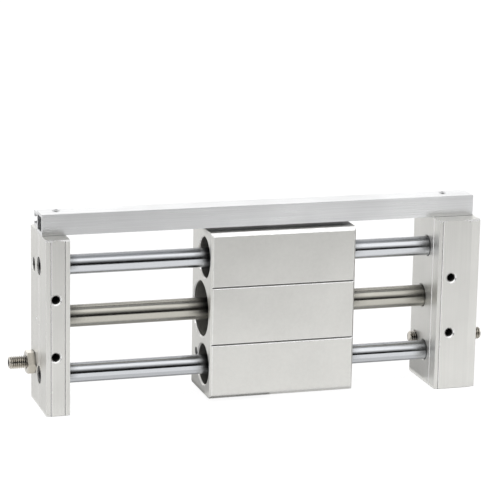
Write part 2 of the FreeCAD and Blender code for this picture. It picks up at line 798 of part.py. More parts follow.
def piston_nut(side):
    ends = (block_x(side, PISTON_NUT_SEAT), block_x(side, PISTON_NUT_SEAT + PISTON_NUT_HEIGHT))
    low, high = sorted(ends)
    return chamfered_nut(low, high, TUBE_Y, 0, PISTON_NUT_FLATS, SHAFT_R + THREAD_GAP)


# The assembly

def save_frame():
    for name, side in (("left", LEFT), ("right", RIGHT)):
        save(f"{name}_plate", end_plate(side))
        save(f"{name}_guide_screws", guide_screw(side, ROD_Z), guide_screw(side, -ROD_Z))
        save(f"{name}_lock_nut", lock_nut(side))
        save(f"{name}_adjusting_screw", adjusting_screw(side))
    save("upper_guide_rod", guide_rod(ROD_Z))
    save("lower_guide_rod", guide_rod(-ROD_Z))
    save("cylinder_tube", cylinder_tube())
    save("tube_orings", tube_oring(LEFT), tube_oring(RIGHT))
    save("end_bumpers", end_bumper(LEFT), end_bumper(RIGHT))
    save("passage_plugs", passage_plug(LEFT), passage_plug(RIGHT))
    save("switch_rail", switch_rail())
    save("rail_screws", rail_screw(LEFT), rail_screw(RIGHT))


def save_carriage():
    save("slide_block", slide_block())
    save("upper_bushings", bushing(LEFT, ROD_Z), bushing(RIGHT, ROD_Z))
    save("lower_bushings", bushing(LEFT, -ROD_Z), bushing(RIGHT, -ROD_Z))
    save("guide_seals", *[guide_seal(side, z) for side in (LEFT, RIGHT) for z in (ROD_Z, -ROD_Z)])
    save("stop_pads", stop_pad(LEFT), stop_pad(RIGHT))
    save("sensor_magnet", sensor_magnet())
    magnets, yokes = stack(coupler_ring, coupler_ring)
    save("coupler_magnets", *magnets)
    save("coupler_yokes", *yokes)
    save("coupler_sleeve", coupler_sleeve())
    save("coupler_end_rings", coupler_end_ring(LEFT), coupler_end_ring(RIGHT))
    save("coupler_wear_rings", coupler_wear_ring(LEFT), coupler_wear_ring(RIGHT))
    save("tube_scrapers", tube_scraper(LEFT), tube_scraper(RIGHT))
    save("coupler_retaining_rings", retaining_ring(LEFT), retaining_ring(RIGHT))


def save_piston():
    magnets, yokes = stack(piston_disc, piston_disc)
    save("piston_magnets", *magnets)
    save("piston_yokes", *yokes)
    save("piston_shaft", piston_shaft())
    save("left_piston", piston(LEFT))
    save("right_piston", piston(RIGHT))
    save("piston_seals", piston_seal(LEFT), piston_seal(RIGHT))
    save("piston_wear_rings", piston_wear_ring(LEFT), piston_wear_ring(RIGHT))
    save("piston_nuts", piston_nut(LEFT), piston_nut(RIGHT))


os.makedirs("parts", exist_ok=True)
save_frame()
save_carriage()
save_piston()
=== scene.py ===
"""Looks of a guided rodless cylinder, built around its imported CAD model."""

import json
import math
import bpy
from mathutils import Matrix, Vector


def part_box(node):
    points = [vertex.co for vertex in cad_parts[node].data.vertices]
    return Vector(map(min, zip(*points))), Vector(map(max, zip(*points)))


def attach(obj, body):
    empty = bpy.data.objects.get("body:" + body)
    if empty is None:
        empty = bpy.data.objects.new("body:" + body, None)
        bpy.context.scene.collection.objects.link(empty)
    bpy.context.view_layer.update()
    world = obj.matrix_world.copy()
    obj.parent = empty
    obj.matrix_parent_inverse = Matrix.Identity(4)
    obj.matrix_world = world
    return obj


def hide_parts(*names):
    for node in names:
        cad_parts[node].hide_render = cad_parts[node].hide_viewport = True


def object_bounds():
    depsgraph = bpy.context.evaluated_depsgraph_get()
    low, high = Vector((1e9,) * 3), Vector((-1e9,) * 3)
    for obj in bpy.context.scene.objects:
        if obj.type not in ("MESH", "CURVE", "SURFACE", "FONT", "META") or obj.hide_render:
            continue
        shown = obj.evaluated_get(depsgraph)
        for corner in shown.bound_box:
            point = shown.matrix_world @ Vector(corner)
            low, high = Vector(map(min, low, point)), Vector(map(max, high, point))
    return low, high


bl_info = {
    "name": "Guided Rodless Cylinder",
    "version": (1, 0, 0),
    "blender": (4, 5, 0),
    "location": "3D View > Sidebar > Cylinder",
    "description": "Dresses the CAD model of a guided rodless cylinder and sets up a studio for it",
    "category": "Object",
}

import bmesh
import bpy
from bpy.props import FloatProperty, FloatVectorProperty, IntProperty, PointerProperty
from mathutils import Quaternion, Vector

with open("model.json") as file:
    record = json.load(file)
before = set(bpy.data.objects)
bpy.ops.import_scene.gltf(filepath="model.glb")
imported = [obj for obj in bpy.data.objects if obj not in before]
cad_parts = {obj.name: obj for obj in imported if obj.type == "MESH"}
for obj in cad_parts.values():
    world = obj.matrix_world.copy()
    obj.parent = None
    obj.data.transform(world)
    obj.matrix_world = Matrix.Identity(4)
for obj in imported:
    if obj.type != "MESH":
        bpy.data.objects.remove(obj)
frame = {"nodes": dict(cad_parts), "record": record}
cad_low, cad_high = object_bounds()

MM = 0.001
WELD = 0.001 * MM
RECORD = frame["record"]
NODES = frame["nodes"]
BASE_COLOUR = {entry["slot"]: entry["base_color"] for entry in RECORD["materials"]}
SLOT_OF = {part["node"]: part["material_slot"] for part in RECORD["subparts"]}
BODY_OF = {node: body for body, group in RECORD["behaviour"]["bodies"].items() for node in group}
MOUNT = {entry["name"]: entry for entry in RECORD["mounts"]}


# Settings

def colour_of(label, default):
    return FloatVectorProperty(
        name=label,
        description=f"Base colour of the {label.lower()}",
        subtype="COLOR",
        min=0.0,
        max=1.0,
        default=default,
    )


def gloss_of(label, default):
    return FloatProperty(
        name=label,
        description=f"Mean roughness behind the {label.lower()}",
        subtype="FACTOR",
        min=0.0,
        max=1.0,
        default=default,
    )


def length_of(label, description, default):
    """Length setting, with its default given in millimetres."""
    return FloatProperty(
        name=label,
        description=description,
        subtype="DISTANCE",
        unit="LENGTH",
        min=0.0,
        default=default * MM,
    )


def angle_of(label, description, default):
    """Angle setting, with its default given in degrees."""
    return FloatProperty(
        name=label,
        description=description,
        subtype="ANGLE",
        default=math.radians(default),
    )


def strength_of(label, description, default):
    return FloatProperty(name=label, description=description, min=0.0, default=default)


class FinishSettings(bpy.types.PropertyGroup):
    """Colours and gloss of the finishes that show."""

    anodised_aluminium: colour_of("Anodised aluminium", (0.785, 0.78, 0.75))
    rail_aluminium: colour_of("Rail aluminium", (0.85, 0.855, 0.86))
    hard_chrome: colour_of("Hard chrome", (0.62, 0.635, 0.66))
    tube_steel: colour_of("Tube steel", (0.53, 0.515, 0.465))
    nickel_steel: colour_of("Nickel steel", (0.74, 0.70, 0.63))
    black_steel: colour_of("Black steel", (0.06, 0.06, 0.065))
    seal_rubber: colour_of("Seal rubber", (0.02, 0.02, 0.02))
    anodised_gloss: gloss_of("Anodised gloss", 0.40)
    rail_gloss: gloss_of("Rail gloss", 0.30)
    chrome_gloss: gloss_of("Chrome gloss", 0.19)
    tube_gloss: gloss_of("Tube gloss", 0.26)
    nickel_gloss: gloss_of("Nickel gloss", 0.13)


class EdgeSettings(bpy.types.PropertyGroup):
    """Widths of the broken edges."""

    plate: length_of("Plate edges", "Width of the broken edges of plates and block", 0.3)
    rail: length_of("Rail edges", "Width of the broken edges of the rail", 0.5)
    nut: length_of("Nut edges", "Width of the broken edges of the lock nuts", 0.5)
    screw: length_of("Screw edges", "Width of the broken edges of the guide rods' screws", 0.18)


class ThreadSettings(bpy.types.PropertyGroup):
    """Pitches, depths and lengths of the threads."""

    stud_pitch: length_of("Stud pitch", "Pitch of the adjusters' thread", 1.25)
    stud_depth: length_of("Stud depth", "Depth of the adjusters' thread", 0.75)
    stud_bevel: length_of("Stud bevel", "Bevel at both ends of an adjuster", 0.9)
    socket_flats: length_of("Socket flats", "Width across flats of an adjuster's socket", 4.0)
    socket_depth: length_of("Socket depth", "Depth of an adjuster's socket", 4.0)
    mount_pitch: length_of("Mounting pitch", "Pitch of the thread in the mounting holes", 1.0)
    table_pitch: length_of("Table pitch", "Pitch of the thread in the block's table holes", 0.8)
    port_pitch: length_of("Port pitch", "Pitch of the thread in the air ports", 0.907)
    mount_length: length_of("Mounting length", "Length of the thread in the mounting holes", 13.5)
    table_length: length_of("Table length", "Length of the thread in the block's table holes", 9.4)
    port_length: length_of("Port length", "Length of the thread in the air ports", 8.2)
    table_inset: length_of("Table inset", "Depth at which the table holes' thread starts", 0.3)
    tap_depth: length_of("Tapped depth", "Height of the tapped threads", 0.32)
    around: IntProperty(name="Segments", description="Segments round a thread", min=12, default=40)


class ScrewSettings(bpy.types.PropertyGroup):
    """Sizes of the rail's cross recess screws."""

    head_radius: length_of("Head radius", "Radius of a rail screw's head", 2.2)
    head_height: length_of("Head height", "Height of a rail screw's head", 0.7)
    crown: length_of("Crown", "How far the head falls from its middle to its edge", 0.3)
    shank_radius: length_of("Shank radius", "Radius of a rail screw's shank", 1.5)
    recess_length: length_of("Recess length", "Length of the cross recess", 2.4)
    recess_width: length_of("Recess width", "Width of the cross recess", 0.5)
    recess_depth: length_of("Recess depth", "Depth of the cross recess", 0.45)


class StageSettings(bpy.types.PropertyGroup):
    """Camera and lights."""

    camera_place: FloatVectorProperty(
        name="Camera place",
        description="Where the camera stands",
        subtype="TRANSLATION",
        unit="LENGTH",
        default=(-0.4137, -1.3154, 0.3684),
    )
    azimuth: angle_of("Azimuth", "Turn of the view to the right of straight ahead", 17.22)
    elevation: angle_of("Elevation", "How far the camera looks down", 13.34)
    roll: angle_of("Roll", "Turn of the camera about its own axis", 1.09)
    lens: FloatProperty(
        name="Lens",
        description="Focal length for a 36 mm sensor",
        subtype="DISTANCE_CAMERA",
        default=170.48,
    )
    ambient: strength_of("Ambient", "Strength of the light from all round", 0.55)
    softbox: strength_of("Softbox", "Brightness of the large light in front and above", 0.36)
    side_light: strength_of("Side light", "Brightness of the light at the left and above", 0.45)
    back_light: strength_of("Back light", "Brightness of the low light behind", 0.31)


def settings():
    return bpy.context.scene.rodless


class CylinderSettings(bpy.types.PropertyGroup):
    """All settings of the add-on."""

    finish: PointerProperty(type=FinishSettings)
    edge: PointerProperty(type=EdgeSettings)
    thread: PointerProperty(type=ThreadSettings)
    screw: PointerProperty(type=ScrewSettings)
    stage: PointerProperty(type=StageSettings)


# Node trees

class Graph:
    """Short calls to add nodes to a tree; an input given as a socket is linked."""

    def __init__(self, tree):
        self.tree = tree

    def link(self, source, target):
        self.tree.links.new(source, target)

    def add(self, kind, inputs=None, **values):
        node = self.tree.nodes.new(kind)
        for name, value in values.items():
            setattr(node, name, value)
        for key, value in (inputs or {}).items():
            if isinstance(value, bpy.types.NodeSocket):
                self.link(value, node.inputs[key])
            else:
                node.inputs[key].default_value = value
        return node

    def maths(self, operation, *values):
        node = self.add("ShaderNodeMath", dict(enumerate(values)), operation=operation)
        return node.outputs[0]

    def ramp(self, value, low, high, start=0.0, end=1.0):
        """Take value from the range low to high into the range start to end, and clamp it."""
        inputs = {"Value": value, "From Min": low, "From Max": high, "To Min": start, "To Max": end}
        return self.add("ShaderNodeMapRange", inputs).outputs["Result"]

    def mix(self, factor, first, second):
        """Mix two colours."""
        node = self.add("ShaderNodeMix", {0: factor, 6: first, 7: second}, data_type="RGBA")
        return node.outputs[2]

    def group(self, name, inputs):
        return self.add("ShaderNodeGroup", inputs, node_tree=bpy.data.node_groups[name])


def new_material(name):
    """New material with an empty node tree; returns it and its graph."""
    material = bpy.data.materials.new(name)
    material.use_nodes = True
    material.node_tree.nodes.clear()
    return material, Graph(material.node_tree)


def new_group(name, kind, inputs, outputs):
    """New node group with its sockets; returns its graph, its input node and its output node."""
    tree = bpy.data.node_groups.new(name, kind)
    for label, socket_type in inputs:
        tree.interface.new_socket(name=label, in_out="INPUT", socket_type=f"NodeSocket{socket_type}")
    for label, socket_type in outputs:
        tree.interface.new_socket(name=label, in_out="OUTPUT", socket_type=f"NodeSocket{socket_type}")
    graph = Graph(tree)
    return graph, graph.add("NodeGroupInput"), graph.add("NodeGroupOutput")


# Shader groups: patterns and marks that several finishes share

PATTERN_OUTPUTS = [("Tone", "Float"), ("Height", "Float")]


def fine_grain_group():
    """Even grain of a blasted or moulded surface."""
    inputs = [("Vector", "Vector"), ("Size", "Float")]
    graph, given, result = new_group("Fine Grain", "ShaderNodeTree", inputs, PATTERN_OUTPUTS)
    scale = graph.maths("DIVIDE", 1.0, given.outputs["Size"])
    coarse_scale = graph.maths("MULTIPLY", scale, 0.22)
    where = given.outputs["Vector"]
    fine = graph.add("ShaderNodeTexNoise", {"Vector": where, "Scale": scale, "Detail": 3.0})
    coarse = graph.add("ShaderNodeTexNoise", {"Vector": where, "Scale": coarse_scale, "Detail": 2.0})
    both = graph.maths("ADD", fine.outputs[0], coarse.outputs[0])
    graph.link(graph.ramp(both, 0.7, 1.3), result.inputs["Tone"])
    graph.link(fine.outputs[0], result.inputs["Height"])


def drawn_lines_group():
    """Long fine lines along X, as a die leaves them."""
    inputs = [("Vector", "Vector"), ("Spacing", "Float"), ("Run", "Float")]
    graph, given, result = new_group("Drawn Lines", "ShaderNodeTree", inputs, PATTERN_OUTPUTS)
    along = graph.maths("DIVIDE", 1.0, given.outputs["Run"])
    across = graph.maths("DIVIDE", 1.0, given.outputs["Spacing"])
    stretch = graph.add("ShaderNodeCombineXYZ", {0: along, 1: across, 2: across})
    scaled = graph.add(
        "ShaderNodeVectorMath",
        {0: given.outputs["Vector"], 1: stretch.outputs[0]},
        operation="MULTIPLY",
    )
    lines = graph.add(
        "ShaderNodeTexNoise",
        {"Vector": scaled.outputs[0], "Scale": 1.0, "Detail": 4.0, "Roughness": 0.65},
    )
    graph.link(graph.ramp(lines.outputs[0], 0.3, 0.7), result.inputs["Tone"])
    graph.link(lines.outputs[0], result.inputs["Height"])


def turned_rings_group():
    """Fine rings round an axis along X, as turning or grinding leaves them."""
    inputs = [("Vector", "Vector"), ("Spacing", "Float")]
    graph, given, result = new_group("Turned Rings", "ShaderNodeTree", inputs, PATTERN_OUTPUTS)
    apart = graph.add("ShaderNodeSeparateXYZ", {0: given.outputs["Vector"]})
    station = graph.maths("DIVIDE", apart.outputs["X"], given.outputs["Spacing"])
    rings = graph.add(
        "ShaderNodeTexNoise", {"W": station, "Scale": 1.0, "Detail": 3.0}, noise_dimensions="1D"
    )
    graph.link(graph.ramp(rings.outputs[0], 0.3, 0.7), result.inputs["Tone"])
    graph.link(rings.outputs[0], result.inputs["Height"])


def mottle_group():
    """Soft clouds of slightly lighter and darker finish."""
    inputs = [("Vector", "Vector"), ("Size", "Float")]
    graph, given, result = new_group("Mottle", "ShaderNodeTree", inputs, [("Tone", "Float")])
    scale = graph.maths("DIVIDE", 1.0, given.outputs["Size"])
    clouds = graph.add(
        "ShaderNodeTexNoise", {"Vector": given.outputs["Vector"], "Scale": scale, "Detail": 3.0}
    )
    graph.link(graph.ramp(clouds.outputs[0], 0.32, 0.68), result.inputs["Tone"])


def edge_wear_group():
    """Mask of the broken edges and the lit corner cuts, uneven along their length; it carries rubbed
    bare metal, painted highlights and painted shade lines.
    """
    inputs = [("Vector", "Vector"), ("Amount", "Float")]
    graph, given, result = new_group("Rubbed And Lit Edges", "ShaderNodeTree", inputs, [("Rubbed And Lit", "Float")])
    edge = graph.add("ShaderNodeAttribute", attribute_name="edge")
    patches = graph.add(
        "ShaderNodeTexNoise", {"Vector": given.outputs["Vector"], "Scale": 220.0, "Detail": 3.0}
    )
    uneven = graph.ramp(patches.outputs[0], 0.3, 0.6, 0.6, 1.0)
    rubbed_lit = graph.maths("MULTIPLY", edge.outputs["Fac"], uneven)
    graph.link(graph.maths("MULTIPLY", rubbed_lit, given.outputs["Amount"]), result.inputs["Rubbed And Lit"])


def painted_shade_group():
    """Mask of painted shade: the places that other surfaces closely shut in, apart from faces that
    look down.
    """
    graph, given, result = new_group(
        "Painted Shade", "ShaderNodeTree", [("Reach", "Float")], [("Shut", "Float")]
    )
    light = graph.add("ShaderNodeAmbientOcclusion", {"Distance": given.outputs["Reach"]}, samples=8)
    shut = graph.ramp(light.outputs["AO"], 0.45, 0.85, 1.0, 0.0)
    normal = graph.add("ShaderNodeNewGeometry").outputs["Normal"]
    upward = graph.ramp(graph.add("ShaderNodeSeparateXYZ", {0: normal}).outputs["Z"], -0.5, -0.1)
    graph.link(graph.maths("MULTIPLY", shut, upward), result.inputs["Shut"])


# Finishes

LOOK = {
    "tone": 0.06,  # how far the colour goes up and down
    "spread": 0.05,  # how far the roughness goes up and down
    "bump": 0.2,  # strength of the pattern's relief
    "relief": 0.02,  # height of that relief, in millimetres
    "mottle": 0.025,  # size of the clouds, in metres
    "wear": 0.5,  # how much the broken edges and lit cuts show, with their rubbed metal and painted light
    "edge": 1.25,  # colour of the broken edges and lit cuts, as a share of the finish's own; lighter is partly rubbed bare metal and partly painted highlight, darker is painted shade
    "painted_shade": 0.4,  # colour of the painted shade in places that other surfaces shut in, as such a share
    "reach": 8.0,  # how near other surfaces shut a place in for the painted shade, in millimetres
    "metallic": 1.0,
    "ground": 0.0,  # how far grinding round X draws out the highlights
    "lie": (0, 0, 0),  # turn of the pattern
}
MOTTLE_SHARE = 0.45  # share of the clouds in the tone, beside the pattern
WORN_POLISH = 0.45  # roughness of a worn edge, as a share of the finish's own
GROUND_TURN = 0.25
PLATE_LIFT = 1.18
# THREAD_SHADE darkens the anodised colour for the tapped threads: painted shade inside the holes.
THREAD_SHADE = 0.25


def scaled_colour(colour, share):
    return tuple(min(1.0, channel * share) for channel in colour) + (1.0,)


def finish_name(label):
    return f"{label}_finish"


def finish_material(label, colour, roughness, pattern, own_look):
    """Procedural finish from a pattern group, with a look of its own where that differs from LOOK."""
    look = {**LOOK, **own_look}
    graph = new_material(finish_name(label))[1]
    where = graph.add("ShaderNodeTexCoord").outputs["Object"]
    name, values = pattern
    lie = graph.add("ShaderNodeMapping", {"Vector": where, "Rotation": look["lie"]})
    marks = graph.group(name, {"Vector": lie.outputs[0], **values})
    mottle = graph.group("Mottle", {"Vector": where, "Size": look["mottle"]})
    wear = graph.group("Rubbed And Lit Edges", {"Vector": where, "Amount": look["wear"]})
    painted_shade = graph.group("Painted Shade", {"Reach": look["reach"] * MM})
    tone = graph.add(
        "ShaderNodeMix", {0: MOTTLE_SHARE, 2: marks.outputs["Tone"], 3: mottle.outputs["Tone"]}
    ).outputs[0]
    darker = scaled_colour(colour, 1 - look["tone"])
    lighter = scaled_colour(colour, 1 + look["tone"])
    base = graph.mix(tone, darker, lighter)
    # Broken edges and lit cuts take the edge colour: rubbed bare metal, with painted highlight where
    # it is lighter and painted shade where it is darker.
    rubbed_lit = graph.mix(wear.outputs["Rubbed And Lit"], base, scaled_colour(colour, look["edge"]))
    # Painted shade: darker colour where other surfaces closely shut a place in.
    shaded = graph.mix(painted_shade.outputs["Shut"], rubbed_lit, scaled_colour(colour, look["painted_shade"]))
    even = graph.ramp(tone, 0.0, 1.0, roughness + look["spread"], roughness - look["spread"])
    polish = graph.ramp(wear.outputs["Rubbed And Lit"], 0.0, 1.0, 1.0, WORN_POLISH)
    bump = graph.add(
        "ShaderNodeBump",
        {"Strength": look["bump"], "Distance": look["relief"] * MM, "Height": marks.outputs["Height"]},
    )
    shader = graph.add(
        "ShaderNodeBsdfPrincipled",
        {
            "Base Color": shaded,
            "Metallic": look["metallic"],
            "Roughness": graph.maths("MULTIPLY", even, polish),
            "Normal": bump.outputs[0],
            "Anisotropic": look["ground"],
            "Anisotropic Rotation": GROUND_TURN,
        },
    )
    if look["ground"]:
        around = graph.add("ShaderNodeTangent", direction_type="RADIAL", axis="X")
        graph.link(around.outputs[0], shader.inputs["Tangent"])
    graph.add("ShaderNodeOutputMaterial", {"Surface": shader.outputs[0]})


def grain(size):
    return "Fine Grain", {"Size": size * MM}


def lines(spacing, run):
    return "Drawn Lines", {"Spacing": spacing * MM, "Run": run * MM}


def rings(spacing):
    return "Turned Rings", {"Spacing": spacing * MM}


def visible_finishes():
    chosen = settings().finish
    plate_colour = scaled_colour(chosen.anodised_aluminium, PLATE_LIFT)[:3]
    thread_colour = scaled_colour(chosen.anodised_aluminium, THREAD_SHADE)[:3]
    # The anodised finishes' broken edges and lit cuts are lighter: partly rubbed bare metal, partly
    # painted highlight.
    anodised = {"bump": 0.12, "spread": 0.04, "mottle": 0.03, "edge": 1.35, "wear": 0.9}
    round_ground = {"relief": 0.004, "mottle": 0.04, "ground": 0.95}
    finish_material(
        "anodised_aluminium", chosen.anodised_aluminium, chosen.anodised_gloss, grain(0.5),
        {**anodised, "tone": 0.035, "painted_shade": 0.1},
    )
    finish_material(
        "drawn_plate", plate_colour, chosen.anodised_gloss, lines(0.7, 90.0),
        {**anodised, "tone": 0.05, "painted_shade": 0.2, "reach": 0.7, "metallic": 0.65,
         "lie": (0, math.pi / 2, 0)},
    )
    finish_material(
        "tapped_thread", thread_colour, 0.5, grain(0.3),
        {"tone": 0.1, "mottle": 0.005},
    )
    # The rail's broken edges are darker: painted shade lines along them.
    finish_material(
        "rail_aluminium", chosen.rail_aluminium, chosen.rail_gloss, lines(0.35, 60.0),
        {"tone": 0.10, "bump": 0.25, "spread": 0.07, "mottle": 0.05, "edge": 0.72, "wear": 1.0,
         "reach": 0.7},
    )
    finish_material(
        "hard_chrome", chosen.hard_chrome, chosen.chrome_gloss, rings(0.25),
        {**round_ground, "tone": 0.02, "bump": 0.03, "spread": 0.02, "painted_shade": 0.08, "reach": 14.0},
    )
    finish_material(
        "tube_steel", chosen.tube_steel, chosen.tube_gloss, rings(0.4),
        {**round_ground, "tone": 0.03, "bump": 0.01, "spread": 0.01, "painted_shade": 0.05, "reach": 22.0},
    )
    # This finish's broken edges are darker: painted shade lines along them.
    finish_material(
        "nickel_steel", chosen.nickel_steel, chosen.nickel_gloss, grain(0.35),
        {"bump": 0.15, "spread": 0.03, "mottle": 0.006, "edge": 0.4, "wear": 1.0, "painted_shade": 0.15,
         "reach": 3.0},
    )
    finish_material(
        "bright_screw", chosen.rail_aluminium, chosen.rail_gloss, grain(0.35),
        {"tone": 0.05, "bump": 0.1, "mottle": 0.006, "painted_shade": 1.0},
    )
    finish_material(
        "black_steel", chosen.black_steel, 0.42, grain(0.3),
        {"tone": 0.15, "spread": 0.08, "mottle": 0.005, "metallic": 0.6, "edge": 2.5},
    )
    finish_material(
        "seal_rubber", chosen.seal_rubber, 0.62, grain(0.25),
        {"tone": 0.2, "bump": 0.3, "spread": 0.1, "mottle": 0.006, "metallic": 0.0, "edge": 1.5},
    )


def hidden_finishes():
    finishes = (
        ("wear_polymer", 0.5, grain(0.4), {"tone": 0.12, "metallic": 0.0, "mottle": 0.006}),
        ("bush_bronze", 0.38, grain(0.3),
         {"tone": 0.14, "bump": 0.35, "spread": 0.08, "mottle": 0.005}),
        ("magnet_nickel", 0.3, grain(0.3), {"tone": 0.05, "bump": 0.15, "mottle": 0.008}),
        ("yoke_iron", 0.45, rings(0.2), {"tone": 0.12, "spread": 0.08, "mottle": 0.008}),
        ("piston_aluminium", 0.28, rings(0.18), {"bump": 0.25, "mottle": 0.01}),
    )
    for label, roughness, pattern, look in finishes:
        finish_material(label, BASE_COLOUR[label], roughness, pattern, look)


OWN_FINISH = {
    "left_plate": "drawn_plate",
    "right_plate": "drawn_plate",
    "rail_screws": "bright_screw",
}


def finish_for(node):
    """A node's own finish, or that of its slot."""
    return bpy.data.materials[finish_name(OWN_FINISH.get(node, SLOT_OF[node]))]


# Meshes

FRONT_DEPTH = 8 * MM  # how far back a corner cut counts as one at the front
GROOVE_AREA = 100 * MM * MM  # largest face that counts as the side of a groove
FLAT_ANGLE = math.radians(0.3)
SHARP_ANGLE = math.radians(22)
DRESSED_CREASE = 12
THREAD_CREASE = 50
HEAD_CREASE = 40


def new_piece(name, mesh, node, replaces=True):
    """Put a mesh into the scene as a piece that rides with a CAD node, in its place or beside it."""
    piece = bpy.data.objects.new(name, mesh)
    bpy.context.scene.collection.objects.link(piece)
    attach(piece, BODY_OF[node])
    if replaces:
        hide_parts(node)
    return piece


def smooth(mesh, angle):
    """Shade a mesh smooth, apart from edges sharper than an angle in degrees."""
    for polygon in mesh.polygons:
        polygon.use_smooth = True
    mesh.set_sharp_from_angle(angle=math.radians(angle))


def painted_highlight_cut(face):
    """True for the corner cuts that face up at the front and for the lit sides of upright grooves,
    which get a painted highlight.
    """
    normal = face.normal
    up_front = normal.z > 0.4 and normal.y < -0.4 and face.calc_center_median().y < FRONT_DEPTH
    groove = normal.x < -0.5 and normal.y < -0.5 and face.calc_area() < GROOVE_AREA
    return up_front or groove


def broken_edges(node, width):
    """Copy of a CAD node's mesh with its sharp outer edges broken, and those edges and the lit cuts
    flagged for rubbed metal and painted highlight.
    """
    shape = bmesh.new()
    shape.from_mesh(NODES[node].data)
    bmesh.ops.remove_doubles(shape, verts=shape.verts, dist=2 * WELD)
    bmesh.ops.dissolve_limit(
        shape, angle_limit=FLAT_ANGLE, verts=shape.verts, edges=shape.edges, delimit=set()
    )
    # Lit corner cuts and groove sides are flagged for a painted highlight.
    rub_light_mark = shape.faces.layers.float.new("edge")
    for face in shape.faces:
        face[rub_light_mark] = float(painted_highlight_cut(face))
    sharp = []
    for edge in shape.edges:
        if edge.is_manifold and edge.calc_face_angle_signed(0.0) > SHARP_ANGLE:
            sharp.append(edge)
    made = bmesh.ops.bevel(
        shape, geom=sharp, offset=width, offset_type="OFFSET", segments=3, profile=0.5,
        affect="EDGES", clamp_overlap=True, loop_slide=True,
    )
    # The bevel faces take the edge colour: rubbed bare metal, with painted highlight in lighter
    # finishes and painted shade in darker ones.
    for face in made["faces"]:
        face[rub_light_mark] = 1.0
    mesh = bpy.data.meshes.new(f"{node}_dressed")
    shape.to_mesh(mesh)
    shape.free()
    smooth(mesh, DRESSED_CREASE)
    mesh.materials.append(finish_for(node))
    return mesh


def dress(node, width):
    """Replace a CAD node by a copy with broken edges."""
    piece = new_piece(f"{node}_dressed", broken_edges(node, width), node)
    weighted = piece.modifiers.new("Flat faces", "WEIGHTED_NORMAL")
    weighted.keep_sharp = True


def finish_nodes(*names):
    """Give CAD nodes that stay as they are their procedural finish."""
    for name in names:
        NODES[name].data.materials[0] = finish_for(name)


# Geometry trees

STUD_RINGS = 8  # rings of points to one turn of a stud's thread
LINING_RINGS = 6  # the same for a tapped thread
LINING_WALL = 0.06 * MM
LINING_FADE = 0.8 * MM
CREST_FLAT = 0.06  # half width of a thread's crest and root, in pitches
HEAD_RINGS = 33
HEAD_SEGMENTS = 48
DOME_END = 0.5  # share of the rings that make a screw head's dome
SIDE_END = 0.75  # share of the rings that make its dome and its side
SHANK_SEGMENTS = 32
RECESS_SINK = 0.4  # how far the recess's cutter lies below the head's top, as a share of its depth


def geometry_group(name, inputs):
    return new_group(name, "GeometryNodeTree", inputs, [("Geometry", "Geometry")])


def cylinder_grid(graph, rings_count, around):
    """Unit grid to be rolled up; returns its geometry and its two coordinates from 0 to 1."""
    columns = graph.maths("ADD", around, 1.0)
    grid = graph.add(
        "GeometryNodeMeshGrid",
        {"Size X": 1.0, "Size Y": 1.0, "Vertices X": rings_count, "Vertices Y": columns},
    )
    apart = graph.add("ShaderNodeSeparateXYZ", {0: graph.add("GeometryNodeInputPosition").outputs[0]})
    along = graph.maths("ADD", apart.outputs["X"], 0.5)
    turn = graph.maths("ADD", apart.outputs["Y"], 0.5)
    return grid.outputs["Mesh"], along, turn


def rolled(graph, grid, station, radius, turn):
    """Roll a grid up about the X axis and weld its seam."""
    angle = graph.maths("MULTIPLY", turn, 2 * math.pi)
    y = graph.maths("MULTIPLY", radius, graph.maths("COSINE", angle))
    z = graph.maths("MULTIPLY", radius, graph.maths("SINE", angle))
    place = graph.add("ShaderNodeCombineXYZ", {0: station, 1: y, 2: z})
    moved = graph.add("GeometryNodeSetPosition", {"Geometry": grid, "Position": place.outputs[0]})
    return graph.add(
        "GeometryNodeMergeByDistance", {"Geometry": moved.outputs[0], "Distance": WELD}
    ).outputs[0]


def thread_wave(graph, distance, pitch, turn):
    """Thread profile from 0 at the crest to 1 at the root, at a distance and a share of a turn."""
    turns = graph.maths("ADD", graph.maths("DIVIDE", distance, pitch), turn)
    wave = graph.maths("PINGPONG", turns, 0.5)
    return graph.ramp(wave, CREST_FLAT, 0.5 - CREST_FLAT)


def cut_from(graph, body, *tools):
    """Cut one or more closed meshes out of another."""
    cut = graph.add(
        "GeometryNodeMeshBoolean", {"Mesh 1": body}, operation="DIFFERENCE", solver="EXACT"
    )
    for tool in tools:
        graph.link(tool, cut.inputs["Mesh 2"])
    return cut.outputs[0]


